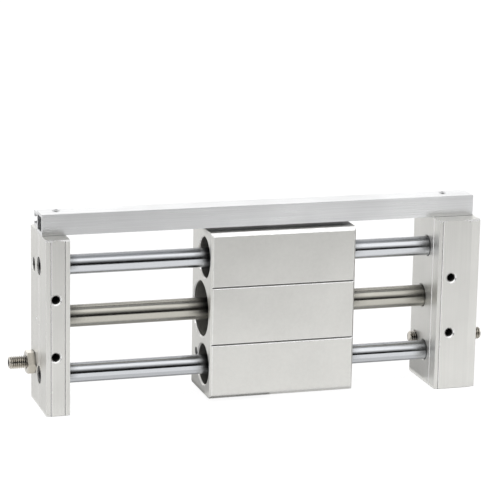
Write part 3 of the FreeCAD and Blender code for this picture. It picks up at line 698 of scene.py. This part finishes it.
def threaded_stud_tree():
    """Threaded stud along X from the origin, with bevelled ends and a socket at its far end."""
    inputs = [
        ("Length", "Float"), ("Radius", "Float"), ("Pitch", "Float"), ("Depth", "Float"),
        ("Bevel", "Float"), ("Socket Flats", "Float"), ("Socket Depth", "Float"),
        ("Place", "Vector"), ("Turn", "Vector"), ("Segments", "Int"), ("Material", "Material"),
    ]
    graph, given, result = geometry_group("Threaded Stud", inputs)
    value = given.outputs
    turns = graph.maths("DIVIDE", value["Length"], value["Pitch"])
    count = graph.maths("CEIL", graph.maths("MULTIPLY", turns, STUD_RINGS))
    grid, along, turn = cylinder_grid(graph, count, value["Segments"])
    distance = graph.maths("MULTIPLY", along, value["Length"])
    wave = thread_wave(graph, distance, value["Pitch"], turn)
    crest = graph.maths("SUBTRACT", value["Radius"], graph.maths("MULTIPLY", wave, value["Depth"]))
    rest = graph.maths("SUBTRACT", value["Length"], distance)
    to_end = graph.maths("MINIMUM", distance, rest)
    end = graph.maths("ADD", graph.maths("SUBTRACT", value["Radius"], value["Bevel"]), to_end)
    closed = graph.maths("GREATER_THAN", to_end, WELD)
    radius = graph.maths("MULTIPLY", graph.maths("MINIMUM", crest, end), closed)
    rod = rolled(graph, grid, distance, radius, turn)
    socket_radius = graph.maths("DIVIDE", value["Socket Flats"], math.sqrt(3))
    both_ways = graph.maths("MULTIPLY", value["Socket Depth"], 2.0)
    prism = graph.add(
        "GeometryNodeMeshCylinder", {"Vertices": 6, "Radius": socket_radius, "Depth": both_ways}
    )
    at_end = graph.add("ShaderNodeCombineXYZ", {0: value["Length"]})
    lie = (0, math.pi / 2, 0)
    laid = graph.add(
        "GeometryNodeTransform",
        {"Geometry": prism.outputs[0], "Translation": at_end.outputs[0], "Rotation": lie},
    )
    placed = graph.add(
        "GeometryNodeTransform",
        {
            "Geometry": cut_from(graph, rod, laid.outputs[0]),
            "Translation": value["Place"],
            "Rotation": value["Turn"],
        },
    )
    finish_tree(graph, placed.outputs[0], value["Material"], result)
    return graph.tree


def tapped_thread_tree():
    """Thin threaded lining along X, placed at each point of the base mesh."""
    inputs = [
        ("Geometry", "Geometry"), ("Length", "Float"), ("Radius", "Float"), ("Pitch", "Float"),
        ("Depth", "Float"), ("Turn", "Vector"), ("Segments", "Int"), ("Material", "Material"),
    ]
    graph, given, result = geometry_group("Tapped Thread", inputs)
    value = given.outputs
    turns = graph.maths("DIVIDE", value["Length"], value["Pitch"])
    count = graph.maths("CEIL", graph.maths("MULTIPLY", turns, LINING_RINGS))
    grid, along, turn = cylinder_grid(graph, count, value["Segments"])
    distance = graph.maths("MULTIPLY", along, value["Length"])
    wave = thread_wave(graph, distance, value["Pitch"], turn)
    height = graph.maths("MULTIPLY_ADD", wave, value["Depth"], LINING_WALL)
    to_end = graph.maths("MINIMUM", distance, graph.maths("SUBTRACT", value["Length"], distance))
    fade = graph.ramp(to_end, 0.0, LINING_FADE)
    radius = graph.maths("SUBTRACT", value["Radius"], graph.maths("MULTIPLY", height, fade))
    inside = rolled(graph, grid, distance, radius, turn)
    shell, shell_along, shell_turn = cylinder_grid(graph, 2, value["Segments"])
    shell_distance = graph.maths("MULTIPLY", shell_along, value["Length"])
    outside = rolled(graph, shell, shell_distance, value["Radius"], shell_turn)
    joined = graph.add("GeometryNodeJoinGeometry", {"Geometry": inside})
    graph.link(outside, joined.inputs["Geometry"])
    welded = graph.add(
        "GeometryNodeMergeByDistance", {"Geometry": joined.outputs[0], "Distance": WELD}
    )
    spread = graph.add(
        "GeometryNodeInstanceOnPoints",
        {"Points": value["Geometry"], "Instance": welded.outputs[0], "Rotation": value["Turn"]},
    )
    finish_tree(graph, spread.outputs[0], value["Material"], result)
    return graph.tree


def cross_screw_tree():
    """Pan head screw with a cross recess, its shank down Z, placed at each point of the base mesh."""
    inputs = [
        ("Geometry", "Geometry"), ("Head Radius", "Float"), ("Head Height", "Float"),
        ("Crown", "Float"), ("Shank Radius", "Float"), ("Shank Length", "Float"),
        ("Recess Length", "Float"), ("Recess Width", "Float"), ("Recess Depth", "Float"),
        ("Material", "Material"),
    ]
    graph, given, result = geometry_group("Cross Screw", inputs)
    value = given.outputs
    grid, along, turn = cylinder_grid(graph, HEAD_RINGS, HEAD_SEGMENTS)
    dome = graph.ramp(along, 0.0, DOME_END)
    side = graph.ramp(along, DOME_END, SIDE_END)
    under = graph.ramp(along, SIDE_END, 1.0)
    radius = graph.maths("MULTIPLY", value["Head Radius"], graph.maths("SUBTRACT", dome, under))
    fall = graph.maths("MULTIPLY", value["Crown"], graph.maths("POWER", dome, 3.0))
    rim = graph.maths("SUBTRACT", value["Head Height"], value["Crown"])
    skirt = graph.maths("MULTIPLY", rim, side)
    top = graph.maths("SUBTRACT", value["Head Height"], fall)
    head = rolled(graph, grid, graph.maths("SUBTRACT", top, skirt), radius, turn)
    outward = graph.add("GeometryNodeFlipFaces", {"Mesh": head})
    upright = graph.add(
        "GeometryNodeTransform", {"Geometry": outward.outputs[0], "Rotation": (0, -math.pi / 2, 0)}
    )
    length = value["Recess Length"]
    width = value["Recess Width"]
    depth = value["Recess Depth"]
    lift = graph.maths("SUBTRACT", value["Head Height"], graph.maths("MULTIPLY", depth, RECESS_SINK))
    raised = graph.add("ShaderNodeCombineXYZ", {2: lift})
    slots = []
    for x, y in ((length, width), (width, length)):
        size = graph.add("ShaderNodeCombineXYZ", {0: x, 1: y, 2: depth})
        bar = graph.add("GeometryNodeMeshCube", {"Size": size.outputs[0]})
        moved = graph.add(
            "GeometryNodeTransform", {"Geometry": bar.outputs[0], "Translation": raised.outputs[0]}
        )
        slots.append(moved.outputs[0])
    shank = graph.add(
        "GeometryNodeMeshCylinder",
        {"Vertices": SHANK_SEGMENTS, "Radius": value["Shank Radius"], "Depth": value["Shank Length"]},
    )
    half_down = graph.maths("MULTIPLY", value["Shank Length"], -0.5)
    drop = graph.add("ShaderNodeCombineXYZ", {2: half_down})
    hung = graph.add(
        "GeometryNodeTransform", {"Geometry": shank.outputs[0], "Translation": drop.outputs[0]}
    )
    head_cut = cut_from(graph, upright.outputs[0], *slots)
    joined = graph.add("GeometryNodeJoinGeometry", {"Geometry": head_cut})
    graph.link(hung.outputs[0], joined.inputs["Geometry"])
    spread = graph.add(
        "GeometryNodeInstanceOnPoints", {"Points": value["Geometry"], "Instance": joined.outputs[0]}
    )
    finish_tree(graph, spread.outputs[0], value["Material"], result)
    return graph.tree


def finish_tree(graph, geometry, material, result):
    """End a geometry tree: real meshes, with their material."""
    real = graph.add("GeometryNodeRealizeInstances", {"Geometry": geometry})
    painted = graph.add(
        "GeometryNodeSetMaterial", {"Geometry": real.outputs[0], "Material": material}
    )
    graph.link(painted.outputs[0], result.inputs["Geometry"])


def grown(name, tree, values, points=()):
    """Run a geometry tree on a mesh of points and return the result as a plain mesh."""
    base = bpy.data.meshes.new(f"{name}_points")
    base.from_pydata([tuple(point) for point in points], [], [])
    carrier = bpy.data.objects.new(f"{name}_carrier", base)
    modifier = carrier.modifiers.new("Shape", "NODES")
    modifier.node_group = tree
    for item in tree.interface.items_tree:
        if item.in_out == "INPUT" and item.name in values:
            modifier[item.identifier] = values[item.name]
    bpy.context.scene.collection.objects.link(carrier)
    depsgraph = bpy.context.evaluated_depsgraph_get()
    evaluated = carrier.evaluated_get(depsgraph)
    mesh = bpy.data.meshes.new_from_object(evaluated, depsgraph=depsgraph)
    bpy.data.objects.remove(carrier)
    bpy.data.meshes.remove(base)
    if not mesh.polygons:
        raise RuntimeError(f"the geometry tree gave no faces for {name}")
    shape = bmesh.new()
    shape.from_mesh(mesh)
    bmesh.ops.recalc_face_normals(shape, faces=shape.faces)
    shape.to_mesh(mesh)
    shape.free()
    mesh.name = name
    return mesh


# Operators

class RODLESS_OT_finishes(bpy.types.Operator):
    """Make the shader groups and the finishes of all material slots"""

    bl_idname = "rodless.finishes"
    bl_label = "Finishes"

    def execute(self, context):
        fine_grain_group()
        drawn_lines_group()
        turned_rings_group()
        mottle_group()
        edge_wear_group()
        painted_shade_group()
        visible_finishes()
        hidden_finishes()
        return {"FINISHED"}


class RODLESS_OT_end_plates(bpy.types.Operator):
    """Dress the two end plates with broken edges"""

    bl_idname = "rodless.end_plates"
    bl_label = "End Plates"

    def execute(self, context):
        for node in ("left_plate", "right_plate"):
            dress(node, settings().edge.plate)
        return {"FINISHED"}


class RODLESS_OT_slide_block(bpy.types.Operator):
    """Dress the slide block with broken edges"""

    bl_idname = "rodless.slide_block"
    bl_label = "Slide Block"

    def execute(self, context):
        dress("slide_block", settings().edge.plate)
        return {"FINISHED"}


class RODLESS_OT_switch_rail(bpy.types.Operator):
    """Dress the switch rail with broken edges"""

    bl_idname = "rodless.switch_rail"
    bl_label = "Switch Rail"

    def execute(self, context):
        dress("switch_rail", settings().edge.rail)
        return {"FINISHED"}


class RODLESS_OT_guides(bpy.types.Operator):
    """Give the guide rods and the cylinder tube their ground finishes"""

    bl_idname = "rodless.guides"
    bl_label = "Guides"

    def execute(self, context):
        finish_nodes("upper_guide_rod", "lower_guide_rod", "cylinder_tube")
        return {"FINISHED"}


class RODLESS_OT_adjusters(bpy.types.Operator):
    """Build the threaded stroke adjusters and dress their lock nuts"""

    bl_idname = "rodless.adjusters"
    bl_label = "Adjusters"

    def execute(self, context):
        chosen = settings().thread
        tree = threaded_stud_tree()
        for side, turn in (("left", math.pi), ("right", 0.0)):
            node = f"{side}_adjusting_screw"
            low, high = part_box(node)
            middle = (low + high) / 2
            tip = low.x if side == "right" else high.x
            values = {
                "Length": high.x - low.x,
                "Radius": (high.z - low.z) / 2,
                "Pitch": chosen.stud_pitch,
                "Depth": chosen.stud_depth,
                "Bevel": chosen.stud_bevel,
                "Socket Flats": chosen.socket_flats,
                "Socket Depth": chosen.socket_depth,
                "Place": (tip, middle.y, middle.z),
                "Turn": (0.0, 0.0, turn),
                "Segments": chosen.around,
                "Material": finish_for(node),
            }
            mesh = grown(f"{side}_threaded_stud", tree, values)
            smooth(mesh, THREAD_CREASE)
            new_piece(f"{side}_threaded_stud", mesh, node)
            dress(f"{side}_lock_nut", settings().edge.nut)
        return {"FINISHED"}


class RODLESS_OT_screws(bpy.types.Operator):
    """Build the rail's cross recess screws and dress the guide rods' socket screws"""

    bl_idname = "rodless.screws"
    bl_label = "Screws"

    def execute(self, context):
        chosen = settings().screw
        low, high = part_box("rail_screws")
        seat = high.z - chosen.head_height
        middle = (low.y + high.y) / 2
        ends = (low.x + chosen.head_radius, high.x - chosen.head_radius)
        values = {
            "Head Radius": chosen.head_radius,
            "Head Height": chosen.head_height,
            "Crown": chosen.crown,
            "Shank Radius": chosen.shank_radius,
            "Shank Length": seat - low.z,
            "Recess Length": chosen.recess_length,
            "Recess Width": chosen.recess_width,
            "Recess Depth": chosen.recess_depth,
            "Material": finish_for("rail_screws"),
        }
        points = [(x, middle, seat) for x in ends]
        mesh = grown("rail_cross_screws", cross_screw_tree(), values, points)
        smooth(mesh, HEAD_CREASE)
        new_piece("rail_cross_screws", mesh, "rail_screws")
        for node in ("left_guide_screws", "right_guide_screws"):
            dress(node, settings().edge.screw)
        return {"FINISHED"}


class RODLESS_OT_tapped_threads(bpy.types.Operator):
    """Line the mounting holes, table holes and air ports with their threads"""

    bl_idname = "rodless.tapped_threads"
    bl_label = "Tapped Threads"

    def execute(self, context):
        chosen = settings().thread
        tree = tapped_thread_tree()
        mounting = (chosen.mount_pitch, chosen.mount_length, 0.0)
        table = (chosen.table_pitch, chosen.table_length, chosen.table_inset)
        port = (chosen.port_pitch, chosen.port_length, 0.0)
        self.line("mounting", tree, "mounting_holes", "left_plate", math.pi / 2, *mounting)
        self.line("table", tree, "carriage_holes", "slide_block", -math.pi / 2, *table)
        self.line("left_port", tree, "left_port", "left_plate", 0.0, *port)
        self.line("right_port", tree, "right_port", "right_plate", math.pi, *port)
        return {"FINISHED"}

    def line(self, name, tree, mount_name, node, turn, pitch, length, inset):
        """Thread lining in all holes of one mount, from an inset below the mouth."""
        chosen = settings().thread
        mount = MOUNT[mount_name]
        dims = mount["dims"]
        mouth = Vector(mount["pos_m"]) - Vector(mount["axis"]) * inset
        half_x = dims.get("spacing_x_mm", 0.0) / 2 * MM
        half_z = dims.get("spacing_y_mm", 0.0) / 2 * MM
        shifts = {(x, z) for x in (-half_x, half_x) for z in (-half_z, half_z)}
        values = {
            "Length": length,
            "Radius": dims.get("hole_r_mm", dims.get("r_mm")) * MM,
            "Pitch": pitch,
            "Depth": chosen.tap_depth,
            "Turn": (0.0, 0.0, turn),
            "Segments": chosen.around,
            "Material": bpy.data.materials[finish_name("tapped_thread")],
        }
        points = [mouth + Vector((x, 0.0, z)) for x, z in sorted(shifts)]
        mesh = grown(f"{name}_threads", tree, values, points)
        smooth(mesh, THREAD_CREASE)
        new_piece(f"{name}_threads", mesh, node, replaces=False)


class RODLESS_OT_seals(bpy.types.Operator):
    """Give the seals, scrapers and stop pads their rubber finish"""

    bl_idname = "rodless.seals"
    bl_label = "Seals"

    def execute(self, context):
        finish_nodes("guide_seals", "tube_scrapers", "stop_pads")
        return {"FINISHED"}


class RODLESS_OT_inner_parts(bpy.types.Operator):
    """Give the parts inside the block, the tube and the plates their finishes"""

    bl_idname = "rodless.inner_parts"
    bl_label = "Inner Parts"

    def execute(self, context):
        shown = [name for name, node in NODES.items() if not node.hide_render]
        plain = [name for name in shown if NODES[name].data.materials[0] != finish_for(name)]
        finish_nodes(*plain)
        return {"FINISHED"}


# Stage, with its lengths in metres

FLOOR_HALF = 5.0
FLOOR_GREY = (0.3, 0.3, 0.3, 1.0)
FLOOR_GLOW = 0.88
WHITE = (1.0, 1.0, 1.0, 1.0)
CARD_HALF = 2.5
FRONT_Y = -0.70
FRONT_TOP = 0.85
FRONT_SPLIT_X = 0.27
CEILING_Z = 2.3
CEILING_FRONT_Y = -0.33
CEILING_BACK_Y = 0.9
SLOPE_Z = 1.35
SLOPE_BACK_Y = 2.4
HORIZON_Y = 2.3
HORIZON_TOP = 0.3
HORIZON_HALF = 3.0


def seen_rays(graph):
    """1 for rays that show the stage to the camera, directly or mirrored in metal."""
    path = graph.add("ShaderNodeLightPath").outputs
    return graph.maths("MAXIMUM", path["Is Camera Ray"], path["Is Glossy Ray"])


def stage_object(name, corners, material):
    mesh = bpy.data.meshes.new(name)
    mesh.from_pydata(corners, [], [tuple(range(len(corners)))])
    mesh.materials.append(material)
    made = bpy.data.objects.new(name, mesh)
    bpy.context.scene.collection.objects.link(made)
    return made


def floor_material():
    """Pale floor that looks white to the camera but keeps the object's shadow."""
    material, graph = new_material("pale_floor")
    plain = graph.add("ShaderNodeBsdfDiffuse", {"Color": FLOOR_GREY})
    glow = graph.add("ShaderNodeEmission", {"Color": WHITE, "Strength": FLOOR_GLOW})
    lifted = graph.add("ShaderNodeAddShader", {0: plain.outputs[0], 1: glow.outputs[0]})
    shown = graph.add(
        "ShaderNodeMixShader", {0: seen_rays(graph), 1: plain.outputs[0], 2: lifted.outputs[0]}
    )
    graph.add("ShaderNodeOutputMaterial", {"Surface": shown.outputs[0]})
    return material


def card_material(name, level):
    """Grey card of one level, or one that goes between two pairs of height and level."""
    material, graph = new_material(name)
    glow = graph.add("ShaderNodeEmission")
    if isinstance(level, float):
        glow.inputs["Strength"].default_value = level
    else:
        (low, first), (high, last) = level
        where = graph.add("ShaderNodeTexCoord").outputs["Object"]
        height = graph.add("ShaderNodeSeparateXYZ", {0: where}).outputs["Z"]
        graph.link(graph.ramp(height, low, high, first, last), glow.inputs["Strength"])
    graph.add("ShaderNodeOutputMaterial", {"Surface": glow.outputs[0]})
    return material


def flat_card(left, front, right, back, height):
    return [(left, front, height), (right, front, height), (right, back, height), (left, back, height)]


def upright_card(depth, left, low, right, high):
    return [(left, depth, low), (right, depth, low), (right, depth, high), (left, depth, high)]


def white_world(ambient):
    world = bpy.data.worlds.new("studio")
    world.use_nodes = True
    world.node_tree.nodes.clear()
    graph = Graph(world.node_tree)
    light = graph.add("ShaderNodeBackground", {"Color": WHITE, "Strength": ambient})
    white = graph.add("ShaderNodeBackground", {"Color": WHITE, "Strength": 1.0})
    shown = graph.add(
        "ShaderNodeMixShader", {0: seen_rays(graph), 1: light.outputs[0], 2: white.outputs[0]}
    )
    graph.add("ShaderNodeOutputWorld", {"Surface": shown.outputs[0]})
    bpy.context.scene.world = world


def soft_light(name, place, target, width, height, brightness):
    """Rectangular light, as bright as a white surface at brightness 1 when seen in a mirror."""
    lamp = bpy.data.lights.new(name, "AREA")
    lamp.shape = "RECTANGLE"
    lamp.size = width
    lamp.size_y = height
    lamp.energy = brightness * math.pi * width * height
    made = bpy.data.objects.new(name, lamp)
    made.location = place
    made.rotation_mode = "QUATERNION"
    made.rotation_quaternion = (Vector(target) - Vector(place)).to_track_quat("-Z", "Y")
    made.visible_camera = False
    bpy.context.scene.collection.objects.link(made)


def photo_camera(chosen):
    data = bpy.data.cameras.new("photo_camera")
    data.sensor_width = 36.0
    data.lens = chosen.lens
    data.clip_start = 0.05
    data.clip_end = 50.0
    camera = bpy.data.objects.new("photo_camera", data)
    flat = math.cos(chosen.elevation)
    ahead = Vector((
        math.sin(chosen.azimuth) * flat,
        math.cos(chosen.azimuth) * flat,
        -math.sin(chosen.elevation),
    ))
    camera.location = chosen.camera_place
    camera.rotation_mode = "QUATERNION"
    level = ahead.to_track_quat("-Z", "Y")
    camera.rotation_quaternion = level @ Quaternion((0.0, 0.0, 1.0), chosen.roll)
    bpy.context.scene.collection.objects.link(camera)
    bpy.context.scene.camera = camera


class RODLESS_OT_stage(bpy.types.Operator):
    """Set up the camera, the floor, the lights and the cards that shape the reflections"""

    bl_idname = "rodless.stage"
    bl_label = "Stage"

    def execute(self, context):
        chosen = settings().stage
        context.scene.view_settings.view_transform = "Standard"
        photo_camera(chosen)
        white_world(chosen.ambient)
        ground = cad_low.z
        floor = flat_card(-FLOOR_HALF, -FLOOR_HALF, FLOOR_HALF, FLOOR_HALF, ground)
        stage_object("floor", floor, floor_material())
        low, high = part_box("slide_block")
        # A dark card under the slide block: the block's painted shadow on the floor, seen only in
        # reflections.
        under = flat_card(low.x, low.y, high.x, high.y, ground + MM)
        front_left = upright_card(FRONT_Y, -CARD_HALF, ground, FRONT_SPLIT_X, FRONT_TOP)
        front_right = upright_card(FRONT_Y, FRONT_SPLIT_X, ground, CARD_HALF, FRONT_TOP)
        table = flat_card(-0.7, -0.5, 0.10, -0.36, ground + MM)
        top = flat_card(-CARD_HALF, CEILING_FRONT_Y, CARD_HALF, CEILING_BACK_Y, CEILING_Z)
        slope = [
            (-CARD_HALF, CEILING_BACK_Y, CEILING_Z),
            (CARD_HALF, CEILING_BACK_Y, CEILING_Z),
            (CARD_HALF, SLOPE_BACK_Y, SLOPE_Z),
            (-CARD_HALF, SLOPE_BACK_Y, SLOPE_Z),
        ]
        behind = flat_card(-0.5, 0.0, 0.2, 0.6, ground + MM)
        shade = flat_card(-0.11, 0.02, 0.15, 0.075, ground + 2 * MM)
        horizon = upright_card(HORIZON_Y, -HORIZON_HALF, ground, HORIZON_HALF, HORIZON_TOP)
        cards = (
            ("block_shadow_card", under, 0.08),
            ("front_left_card", front_left, ((0.28, 0.01), (FRONT_TOP, 0.85))),
            ("front_right_card", front_right, ((0.15, 0.01), (0.65, 1.55))),
            ("table_card", table, 0.5),
            ("top_card", top, 0.12),
            ("slope_card", slope, ((SLOPE_Z, 0.3), (2.2, 0.95))),
            ("behind_card", behind, 0.78),
            ("shade_card", shade, 0.4),
            ("horizon_card", horizon, ((0.0, 0.1), (HORIZON_TOP, 0.5))),
        )
        for name, corners, level in cards:
            card = stage_object(name, corners, card_material(name, level))
            card.visible_camera = False
            card.visible_diffuse = False
            card.visible_shadow = False
        aim = (0.0, 0.0, 0.0)
        soft_light("softbox", (0.25, -0.80, 1.74), aim, 3.0, 1.45, chosen.softbox)
        soft_light("side_light", (-1.5, -0.1, 1.4), aim, 1.4, 1.2, chosen.side_light)
        soft_light("back_light", (0.8, 2.4, 0.68), aim, 5.0, 1.15, chosen.back_light)
        return {"FINISHED"}


# Panel and registration

class RODLESS_PT_panel(bpy.types.Panel):
    """Buttons and settings of the cylinder"""

    bl_idname = "RODLESS_PT_panel"
    bl_label = "Rodless Cylinder"
    bl_space_type = "VIEW_3D"
    bl_region_type = "UI"
    bl_category = "Cylinder"

    def draw(self, context):
        for operator in OPERATORS:
            self.layout.operator(operator.bl_idname)
        for group in ("finish", "edge", "thread", "screw", "stage"):
            box = self.layout.box()
            chosen = getattr(settings(), group)
            for name in chosen.__annotations__:
                box.prop(chosen, name)


OPERATORS = (
    RODLESS_OT_finishes,
    RODLESS_OT_end_plates,
    RODLESS_OT_slide_block,
    RODLESS_OT_switch_rail,
    RODLESS_OT_guides,
    RODLESS_OT_adjusters,
    RODLESS_OT_screws,
    RODLESS_OT_tapped_threads,
    RODLESS_OT_seals,
    RODLESS_OT_inner_parts,
    RODLESS_OT_stage,
)
SETTINGS = (
    FinishSettings,
    EdgeSettings,
    ThreadSettings,
    ScrewSettings,
    StageSettings,
    CylinderSettings,
)


def register():
    for made in SETTINGS + OPERATORS + (RODLESS_PT_panel,):
        bpy.utils.register_class(made)
    bpy.types.Scene.rodless = PointerProperty(type=CylinderSettings)


def unregister():
    del bpy.types.Scene.rodless
    for made in reversed(SETTINGS + OPERATORS + (RODLESS_PT_panel,)):
        bpy.utils.unregister_class(made)


def main():
    register()
    bpy.ops.rodless.stage()
    bpy.ops.rodless.finishes()
    bpy.ops.rodless.end_plates()
    bpy.ops.rodless.slide_block()
    bpy.ops.rodless.switch_rail()
    bpy.ops.rodless.guides()
    bpy.ops.rodless.adjusters()
    bpy.ops.rodless.screws()
    bpy.ops.rodless.tapped_threads()
    bpy.ops.rodless.seals()
    bpy.ops.rodless.inner_parts()


if __name__ == "__main__":
    main()
